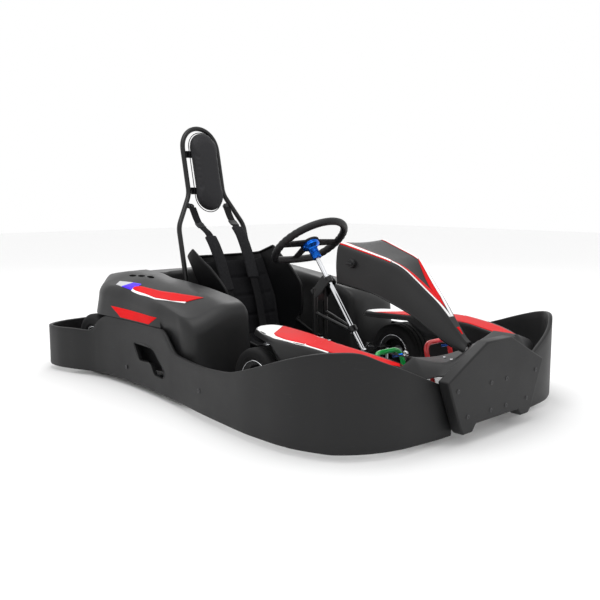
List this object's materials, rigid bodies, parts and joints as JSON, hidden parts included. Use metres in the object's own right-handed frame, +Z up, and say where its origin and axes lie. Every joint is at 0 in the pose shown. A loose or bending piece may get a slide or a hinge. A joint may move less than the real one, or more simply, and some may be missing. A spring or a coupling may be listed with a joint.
{
  "type": "electric rental kart",
  "caption": "Low open electric kart with an all-round plastic bumper, side pods, bucket seat with harness, padded head-rest hoop, tilted steering column and loop pedals.",
  "frame": {"origin": "centre of the bounding box at ground level, between the axles", "axes": "+X to the nose, +Y to the driver's left, +Z up"},
  "size_m": [2.1551, 1.4072, 1.1667],
  "materials": {
    "black_plastic": "semi-matt",
    "battery_case": "matt",
    "black_steel": "satin black powder coat",
    "bright_steel": "bright",
    "grey_alloy": "satin",
    "blue_alloy": "blue anodised",
    "tyre": "matt",
    "black_rubber": "matt",
    "fabric": "woven",
    "green_paint": "gloss",
    "red_paint": "gloss"
  },
  "bodies": {
    "chassis": {"frame_rail_right": "black_steel", "frame_rail_left": "black_steel", "crossmember_rear": "black_steel", "crossmember_seat": "black_steel", "side_frame_right": "black_steel", "side_frame_left": "black_steel", "nose_tube": "black_steel", "front_beam": "black_steel", "axle_bearing_right": "black_steel", "axle_bearing_left": "black_steel", "column_support": "black_steel", "roll_hoop": "black_steel", "headrest_bracket": "black_steel", "floor_tray": "grey_alloy", "motor": "grey_alloy", "bumper_side_right": "black_plastic", "bumper_side_left": "black_plastic", "bumper_rear": "black_plastic", "bumper_front_panel": "black_plastic", "side_pod_right": "black_plastic", "side_pod_left": "black_plastic", "rear_deck": "black_plastic", "nassau_panel": "black_plastic", "nose_deck": "black_plastic", "front_cover_right": "black_plastic", "front_cover_left": "black_plastic", "seat_shell": "black_plastic", "battery_right": "battery_case", "battery_left": "battery_case", "drive_belt": "black_rubber", "belt_buckle": "bright_steel", "brake_caliper": "red_paint", "seat_pad": "fabric", "headrest_pad": "fabric", "shoulder_belt_right": "fabric", "shoulder_belt_left": "fabric", "lap_belt_right": "fabric", "lap_belt_left": "fabric"},
    "rear_axle_set": {"rear_axle": "bright_steel", "axle_sprocket": "grey_alloy", "brake_disc": "bright_steel", "rear_rim_right": "grey_alloy", "rear_rim_left": "grey_alloy", "rear_tyre_right": "tyre", "rear_tyre_left": "tyre"},
    "motor_pinion_set": {"motor_pinion": "grey_alloy"},
    "steering_column": {"steering_wheel": "black_rubber", "steering_hub": "blue_alloy", "steering_shaft": "bright_steel"},
    "right_stub": {"stub_axle_right": "bright_steel"},
    "left_stub": {"stub_axle_left": "bright_steel"},
    "front_wheel_right": {"front_rim_right": "grey_alloy", "front_tyre_right": "tyre"},
    "front_wheel_left": {"front_rim_left": "grey_alloy", "front_tyre_left": "tyre"},
    "right_tie_rod": {"tie_rod_right": "bright_steel"},
    "left_tie_rod": {"tie_rod_left": "bright_steel"},
    "throttle": {"throttle_pedal": "green_paint"},
    "brake": {"brake_pedal": "red_paint"},
    "switch": {"start_switch": "black_rubber"}
  },
  "joints": [
    {"name": "rear_axle_spin", "type": "hinge", "parent": "chassis", "child": "rear_axle_set", "pos_m": [-0.7575, 0, 0.139], "axis": [0, 1, 0], "continuous": true},
    {"name": "motor_spin", "type": "hinge", "parent": "chassis", "child": "motor_pinion_set", "pos_m": [-0.5675, 0.15, 0.168], "axis": [0, 1, 0], "continuous": true},
    {"name": "steering", "type": "hinge", "parent": "chassis", "child": "steering_column", "pos_m": [0.1155, 0, 0.626], "axis": [-0.6018, 0, 0.7986], "range_deg": [-60, 60]},
    {"name": "right_kingpin", "type": "hinge", "parent": "chassis", "child": "right_stub", "pos_m": [0.2975, -0.3, 0.127], "axis": [0, 0, 1], "range_deg": [-24, 24]},
    {"name": "left_kingpin", "type": "hinge", "parent": "chassis", "child": "left_stub", "pos_m": [0.2975, 0.3, 0.127], "axis": [0, 0, 1], "range_deg": [-24, 24]},
    {"name": "right_tie_rod_eye", "type": "hinge", "parent": "right_stub", "child": "right_tie_rod", "pos_m": [0.2025, -0.286, 0.151], "axis": [0, 0, 1], "range_deg": [-24, 24]},
    {"name": "left_tie_rod_eye", "type": "hinge", "parent": "left_stub", "child": "left_tie_rod", "pos_m": [0.2025, 0.286, 0.151], "axis": [0, 0, 1], "range_deg": [-24, 24]},
    {"name": "right_front_wheel_spin", "type": "hinge", "parent": "right_stub", "child": "front_wheel_right", "pos_m": [0.2975, -0.405, 0.127], "axis": [0, 1, 0], "continuous": true},
    {"name": "left_front_wheel_spin", "type": "hinge", "parent": "left_stub", "child": "front_wheel_left", "pos_m": [0.2975, 0.405, 0.127], "axis": [0, 1, 0], "continuous": true},
    {"name": "throttle_pedal_hinge", "type": "hinge", "parent": "chassis", "child": "throttle", "pos_m": [0.7425, -0.148, 0.086], "axis": [0, 1, 0], "range_deg": [0, 20], "stiffness_Nm_per_rad": 2, "springref_deg": -8.59},
    {"name": "brake_pedal_hinge", "type": "hinge", "parent": "chassis", "child": "brake", "pos_m": [0.7425, 0.148, 0.086], "axis": [0, 1, 0], "range_deg": [0, 15], "stiffness_Nm_per_rad": 4, "springref_deg": -8.59},
    {"name": "start_switch_turn", "type": "hinge", "parent": "chassis", "child": "switch", "pos_m": [0.5045, -0.145, 0.572], "axis": [0, -1, 0], "range_deg": [0, 90]}
  ],
  "couplings": [
    {"joint": "motor_spin", "follows": "rear_axle_spin", "ratio": 2.8571},
    {"joint": "right_kingpin", "follows": "steering", "ratio": 0.4},
    {"joint": "left_kingpin", "follows": "steering", "ratio": 0.4},
    {"joint": "right_tie_rod_eye", "follows": "steering", "ratio": -0.4},
    {"joint": "left_tie_rod_eye", "follows": "steering", "ratio": -0.4}
  ]
}
